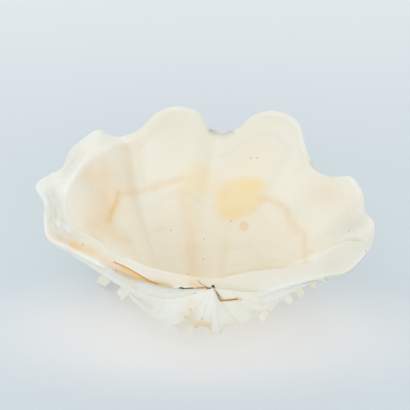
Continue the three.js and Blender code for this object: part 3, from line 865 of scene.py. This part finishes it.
def growth_relief(share, angle):
    """Height of the outside's own relief: each growth stage climbs to its edge and drops off behind it,
    as exp(-(angle - stage) / fall), and riblets run along the ribs as -cos(across)."""
    size = size_at(angle, OUTSIDE_RATE, OUTSIDE_TURN)
    crest = on_rib(share)
    strays = LEDGE_WANDER * wander(LEDGE_PACE[0] * share, LEDGE_PACE[1] * angle, LEDGE_SEED)
    degrees = np.degrees(angle) + strays
    total = 0
    for stage in LEDGE_STAGES:
        past = degrees - (SCUTE_FIRST_STAGE + stage * SCUTE_STAGE_STEP)
        total = total + np.exp(-past / LEDGE_FALL) * smoothstep(past, *LEDGE_RISE)
    ledge = (LEDGE_BETWEEN + (LEDGE_ON_RIB - LEDGE_BETWEEN) * crest) * total
    fine = FINE_LEDGE * np.abs(np.sin(math.pi * degrees / FINE_LEDGE_STEP)) ** FINE_LEDGE_POWER
    riblets = 0
    for place, half_width, strength, scutes in RIBS:
        v = (share - share_of(place)) * MARGIN_LENGTH / half_width
        height = RIBLET * strength * size ** (TWIN_FADE if place == TWIN_RIB else RIBLET_FADE)
        fading = np.exp(-((v / RIBLET_REACH) ** RIBLET_EDGE))
        riblets = riblets - height * np.cos(RIBLET_WAVES * math.pi * v) * fading
    return (ledge + fine) * size**LEDGE_FADE + riblets * smoothstep(np.degrees(angle), *RIBLET_START)


def scute_parts(level):
    """Every scute as a closed part. Those that are feet reach down past the level of the ground."""
    made = []
    for place, half_width, strength, scutes in RIBS:
        for stage, height in scutes.items():
            if (place, stage) in FEET:
                height = foot_height(place, stage, level - FOOT_WEAR)
            leaf, leaf_share, leaf_age = scute(place, half_width, stage, height)
            travel = stage * SCUTE_MAP_STEP + np.linspace(0, SCUTE_MAP_LENGTH, len(leaf))[:, None]
            values = {key: np.zeros(1) for key in WALL_VALUES}
            values.update({"age": leaf_age, "round": leaf_share, "travel": travel})
            # Scutes are lightened with painted light, and stained
            values.update(stain=np.full(1, SCUTE_STAIN), chalk=np.full(1, SCUTE_PAINTED_LIGHT))
            made.append((leaf, grid_faces(*leaf.shape[:2], closed_rows=True), values))
    return made


def wall_relief(points, angle, lip, share):
    """The wall's grid with its own relief: growth relief outside, then the crest and bumps of the left
    facet, each raised along the normals."""
    degrees = np.degrees(angle[:, None])
    relief = growth_relief(share[None, :], angle[:, None]) * (lip[:, None] == 0)
    relief = relief * smoothstep(degrees, *RELIEF_START)
    relief = relief * (1 - smoothstep(degrees, *RELIEF_END))
    points = points + slopes_out(points) * relief[..., None]
    seen = seen_at(points)
    raised = CREST_HEIGHT * stroke(seen, LIT_CHALK_CREST, CREST_WIDTH)
    raised = raised + BUMP_HEIGHT * stroke(seen, LIT_CHALK_BUMPS, BUMP_WIDTH)
    raised = raised * in_sight(points) * smoothstep(lip, *RAISED_OVER)[:, None]
    return points + slopes_out(points) * raised[..., None]


def wall_marks(points, lip, share):
    """The values that carry the wall's colours: its place in the picture, and a mask for each mark."""
    # Painted shade where the grid is hollow, off the outer part of the lip
    crease_shade = creases(points) * (1 - smoothstep(lip, *CREASED_OVER))[:, None]
    crease_shade[:CREASE_REACH] = 0
    hinge = 1 - smoothstep(share, share_of("left corner"), share_of("left tip"))
    hinge = (hinge + smoothstep(share, share_of("lobe 6 top"), share_of("lobe 7 side")))[None, :]
    front = in_sight(points)
    inner = smoothstep(lip, *INNER_OVER)[:, None] * front
    plate = smoothstep(lip, *PLATE_FROM)[:, None] * (1 - smoothstep(lip, *PLATE_TO))[:, None] * hinge
    place = seen_at(points)
    slow = place / FRAYING_PACE
    strays = [wander(slow[..., 0], slow[..., 1], seed) for seed in FRAYING_SEEDS]
    edges = {"plain": place, "frayed": place + FRAYING * np.stack(strays, -1)}
    scars = [strength * patch(edges["frayed"], outline, soft) for outline, soft, strength in SCAR_PATCHES]
    return {
        "across": place[..., 0],
        "down": place[..., 1],
        "front": front,
        "plate": plate,
        # Painted shade: the creases, and the shadow lines along the hinge
        "crease_shade": np.maximum(crease_shade, front * np.max(strokes_of(SHADOW_MARKS, edges), 0)),
        "scar": inner * np.max(scars + strokes_of(SCAR_MARKS, edges), 0),
        "pallial": inner * np.max(strokes_of(PALLIAL_MARKS, edges), 0),
        # The shell's own blush and streaks, and painted shade in the bowl and trough B
        "peach_and_shade": inner * added(strokes_of(PEACH_AND_SHADE_MARKS, edges)),
        "stain": front * added(strokes_of(STAIN_MARKS, edges)),
        # Partly chalky white, partly painted highlight on lit ridges and edges
        "chalk": front * added(strokes_of(CHALK_AND_HIGHLIGHT_MARKS, edges)),
        # Painted shade on faces the light misses
        "grey_shade": front * added(strokes_of(GREY_SHADE_MARKS, edges)),
    }


# The valve: the wall and its scutes, set down on the ground and centred like the part
points, angle, lip, share = wall()
step_lengths = np.linalg.norm(np.diff(points, axis=0), axis=-1).mean(1)
travel = MM * np.cumsum(np.concatenate([[0], step_lengths]))
ground = points[..., 2].min() + GROUND_WEAR
leaves = scute_parts(ground)
low = np.min([p.reshape(-1, 3).min(0) for p in [points, *(leaf[0] for leaf in leaves)]], 0)
high = np.max([p.reshape(-1, 3).max(0) for p in [points, *(leaf[0] for leaf in leaves)]], 0)
corners = np.array([list(corner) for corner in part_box("valve")]) / MM
beak = np.array([*((corners[0] + corners[1]) / 2 - (low + high) / 2)[:2], -ground])
points = wall_relief(points, angle, lip, share)
wall_values = {"age": angle[:, None], "lip": lip[:, None], "round": share[None, :], "travel": travel[:, None]}
wall_values.update(wall_marks(points, lip, share))
parts = [(points, grid_faces(*points.shape[:2], closed_columns=True), wall_values), *leaves]
for p, f, values in parts:
    p += beak
    p[..., 2] = np.maximum(p[..., 2], 0)

valve = bpy.data.objects.new("giant_clam_valve", closed_mesh("giant_clam_valve", parts))
bpy.context.collection.objects.link(valve)
weld = valve.modifiers.new("weld", "WELD")
weld.merge_threshold = WELD_METRES


def linear(code):
    """A colour written as six hex digits, as the shader's linear red, green, blue and alpha."""
    parts = [int(code[k : k + 2], 16) / 255 for k in (0, 2, 4)]
    return tuple(c / 12.92 if c <= 0.04045 else ((c + 0.055) / 1.055) ** 2.4 for c in parts) + (1,)


def add_node(tree, kind, settings=None, **inputs):
    """A new node with its settings, and its inputs set or linked. An input's name has _ for a space,
    and a name like in0 is its number."""
    node = tree.nodes.new(kind)
    for key, value in (settings or {}).items():
        setattr(node, key, value)
    for key, value in inputs.items():
        numbered = key[:2] == "in" and key[2:].isdigit()
        socket = node.inputs[int(key[2:])] if numbered else node.inputs[key.replace("_", " ")]
        if isinstance(value, bpy.types.NodeSocket):
            tree.links.new(value, socket)
        else:
            socket.default_value = value
    return node


def maths(tree, operation, a, b, c=None, clamp=False):
    """One step of arithmetic on two or three values."""
    third = {} if c is None else {"in2": c}
    settings = {"operation": operation, "use_clamp": clamp}
    return add_node(tree, "ShaderNodeMath", settings, in0=a, in1=b, **third).outputs[0]


def vectors(tree, operation, result=0, **inputs):
    """One step of arithmetic on vectors."""
    return add_node(tree, "ShaderNodeVectorMath", {"operation": operation}, **inputs).outputs[result]


def blend(tree, share, under, over):
    """The colour under with a share of the colour over."""
    node = add_node(tree, "ShaderNodeMix", {"data_type": "RGBA"}, in0=share, in6=under, in7=over)
    return node.outputs[2]


def value_of(tree, name):
    """A number kept at the mesh's points."""
    return add_node(tree, "ShaderNodeAttribute", {"attribute_name": name}).outputs["Fac"]


def noise(tree, where, scale, detail, stretch):
    """Noise between 0 and 1, finer with scale, and drawn out along the directions with a low stretch."""
    spread = add_node(tree, "ShaderNodeMapping", Vector=where, Scale=stretch).outputs[0]
    return add_node(tree, "ShaderNodeTexNoise", Vector=spread, Scale=scale, Detail=detail).outputs["Fac"]


def remap(tree, value, low, high, to_low=0.0, to_high=1.0):
    """Smooth passage from to_low to to_high as the value goes from low to high."""
    return add_node(
        tree,
        "ShaderNodeMapRange",
        {"interpolation_type": "SMOOTHSTEP"},
        Value=value,
        From_Min=low,
        From_Max=high,
        To_Min=to_low,
        To_Max=to_high,
    ).outputs[0]


def stroke_group():
    """Mask of one straight stroke: 1 within half a width of the piece from start to end, soft beyond."""
    tree = bpy.data.node_groups.new("stroke", "ShaderNodeTree")
    for name in ("Place", "Start", "End"):
        tree.interface.new_socket(name, in_out="INPUT", socket_type="NodeSocketVector")
    for name in ("Width", "Soft"):
        tree.interface.new_socket(name, in_out="INPUT", socket_type="NodeSocketFloat")
    tree.interface.new_socket("Mask", in_out="OUTPUT", socket_type="NodeSocketFloat")
    given = tree.nodes.new("NodeGroupInput").outputs
    along = vectors(tree, "SUBTRACT", in0=given["End"], in1=given["Start"])
    away = vectors(tree, "SUBTRACT", in0=given["Place"], in1=given["Start"])
    dot = vectors(tree, "DOT_PRODUCT", "Value", in0=away, in1=along)
    whole = vectors(tree, "DOT_PRODUCT", "Value", in0=along, in1=along)
    share = maths(tree, "DIVIDE", dot, maths(tree, "ADD", whole, NO_LENGTH), clamp=True)
    foot = vectors(tree, "SCALE", in0=along, Scale=share)
    gap = vectors(tree, "DISTANCE", "Value", in0=away, in1=foot)
    past_edge = maths(tree, "SUBTRACT", gap, maths(tree, "MULTIPLY", given["Width"], 0.5))
    mask = remap(tree, maths(tree, "DIVIDE", past_edge, given["Soft"]), 0.0, 1.0, 1.0, 0.0)
    out = tree.nodes.new("NodeGroupOutput")
    tree.links.new(mask, out.inputs["Mask"])
    return tree


STROKE = stroke_group()


def strokes(tree, where, lines, width, soft):
    """The strongest of the strokes along lines of straight pieces, or round single places."""
    total = 0.0
    for line in lines:
        line = [line] if isinstance(line[0], (int, float)) else line
        for start, end in zip(line, line[1:] or line):
            node = add_node(
                tree,
                "ShaderNodeGroup",
                {"node_tree": STROKE},
                Place=where,
                Start=(*start, 0),
                End=(*end, 0),
                Width=width,
                Soft=soft,
            )
            total = maths(tree, "MAXIMUM", node.outputs[0], total)
    return total


def shell_colour(tree, grain, inner):
    """Ground colours of the outside, inside, margin and hinge plate, washed over along the grain, with
    the soft marks kept at the points and the crisp marks on top."""
    colour = blend(tree, inner, linear(OUTSIDE_TINT), linear(INSIDE_TINT))
    age = maths(tree, "MULTIPLY_ADD", grain["clouds"], MARGIN_CLOUDS, value_of(tree, "age"))
    margin = maths(tree, "MULTIPLY", remap(tree, age, *MARGIN_AGES, 1.0, 0.0), MARGIN_STRENGTH)
    colour = blend(tree, margin, colour, linear(MARGIN_TINT))
    plate = maths(tree, "MULTIPLY", value_of(tree, "plate"), PLATE_STRENGTH)
    colour = blend(tree, plate, colour, linear(PLATE_TINT))
    for name, begins, full, tint, strength in WASHES:
        colour = blend(tree, remap(tree, grain[name], begins, full, 0.0, strength), colour, linear(tint))
    broken = remap(tree, grain["mottle"], *MOTTLE_RANGE, *MOTTLE_STRENGTH)
    for name, tint, strength in SOFT_MARKS:
        mask = maths(tree, "MULTIPLY", broken, strength)
        mask = maths(tree, "MULTIPLY", value_of(tree, name), mask, clamp=True)
        colour = blend(tree, mask, colour, linear(tint))
    picture = add_node(tree, "ShaderNodeCombineXYZ", X=value_of(tree, "across"), Y=value_of(tree, "down"))
    front = value_of(tree, "front")
    for lines, width, soft, tint, strength in CRISP_MARKS:
        mask = strokes(tree, picture.outputs[0], lines, width, soft)
        mask = maths(tree, "MULTIPLY", maths(tree, "MULTIPLY", mask, front), strength, clamp=True)
        colour = blend(tree, mask, colour, linear(tint))
    return colour


def shell_relief(tree, grain, inner):
    """A normal from streaks, growth lines and pores, the last two deeper on the outside."""
    outer = maths(tree, "SUBTRACT", 1.0, inner)
    height = maths(tree, "MULTIPLY", grain["streaks"], STREAK_HEIGHT)
    for name, more_outside, inside_height in FINE_RELIEF:
        depth = maths(tree, "MULTIPLY_ADD", outer, more_outside, inside_height)
        height = maths(tree, "ADD", height, maths(tree, "MULTIPLY", grain[name], depth))
    bump = add_node(
        tree, "ShaderNodeBump", Height=height, Strength=FINE_RELIEF_STRENGTH, Distance=FINE_RELIEF_METRES
    )
    return bump.outputs[0]


def shell_material():
    """The shell: porcelain inside, matt and grained outside."""
    shell = bpy.data.materials.new("clam_shell")
    shell.use_nodes = True
    tree = shell.node_tree
    look = tree.nodes["Principled BSDF"]
    followed = {
        "body": add_node(tree, "ShaderNodeTexCoord").outputs["Object"],
        "growth": add_node(tree, "ShaderNodeUVMap", {"uv_map": "growth"}).outputs[0],
    }
    grain = {
        name: noise(tree, followed[what], scale, detail, stretch)
        for name, (what, scale, detail, stretch) in GRAIN.items()
    }
    inner = remap(tree, value_of(tree, "lip"), *PORCELAIN_OVER)
    tree.links.new(shell_colour(tree, grain, inner), look.inputs["Base Color"])
    ground_roughness = remap(tree, inner, 0, 1, ROUGH_OUTSIDE, ROUGH_INSIDE)
    roughness = maths(tree, "MULTIPLY_ADD", grain["mottle"], ROUGH_MOTTLE, ground_roughness)
    tree.links.new(roughness, look.inputs["Roughness"])
    tree.links.new(shell_relief(tree, grain, inner), look.inputs["Normal"])
    return shell


valve.data.materials.append(shell_material())

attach(valve, "root")
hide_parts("valve")


def paper_with_painted_light():
    """Pale paper that emits painted light: a warm pool of it before the shell, cooler out to the sides,
    and brighter again at the back."""
    paper = bpy.data.materials.new("paper")
    paper.use_nodes = True
    tree = paper.node_tree
    look = tree.nodes["Principled BSDF"]
    look.inputs["Base Color"].default_value = PAPER_COLOUR
    look.inputs["Roughness"].default_value = PAPER_ROUGHNESS
    spot = add_node(tree, "ShaderNodeTexCoord").outputs["Object"]
    from_light_pool = vectors(tree, "MULTIPLY_ADD", in0=spot, in1=(POOL_SQUASH, 1, 0), in2=(0, POOL_FRONT, 0))
    away = vectors(tree, "LENGTH", "Value", in0=from_light_pool)
    back = add_node(tree, "ShaderNodeSeparateXYZ", Vector=spot).outputs["Y"]
    painted_light = blend(tree, remap(tree, away, *POOL_EDGE), PAINTED_LIGHT_NEAR, PAINTED_LIGHT_FAR)
    painted_light = blend(tree, remap(tree, back, *BACK_EDGE), painted_light, PAINTED_LIGHT_BACK)
    # The paper emits this painted light
    tree.links.new(painted_light, look.inputs["Emission Color"])
    look.inputs["Emission Strength"].default_value = 1
    return paper


# Floor, light and camera
bpy.ops.mesh.primitive_plane_add(size=FLOOR_SIDE)
floor = bpy.context.object
floor.name = "floor"
floor.data.materials.append(paper_with_painted_light())

world = bpy.data.worlds.new("studio")
world.use_nodes = True
world.node_tree.nodes["Background"].inputs["Color"].default_value = WORLD_COLOUR
world.node_tree.nodes["Background"].inputs["Strength"].default_value = WORLD_LIGHT
bpy.context.scene.world = world
for name, spot, side, power in SOFT_BOXES:
    light = bpy.data.lights.new(name, "AREA")
    light.energy = power
    light.size = side
    lamp = bpy.data.objects.new(name, light)
    lamp.location = spot
    lamp.rotation_euler = (-Vector(spot)).to_track_quat("-Z", "Y").to_euler()
    bpy.context.collection.objects.link(lamp)

lens = bpy.data.cameras.new("camera")
lens.lens = LENS
lens.sensor_width = SENSOR
camera = bpy.data.objects.new("camera", lens)
camera.location = MM * (beak + eye_place())
camera.rotation_euler = (math.pi / 2 - CAMERA_ELEVATION, 0, 0)
bpy.context.collection.objects.link(camera)
bpy.context.scene.camera = camera
bpy.context.scene.view_settings.view_transform = "Standard"
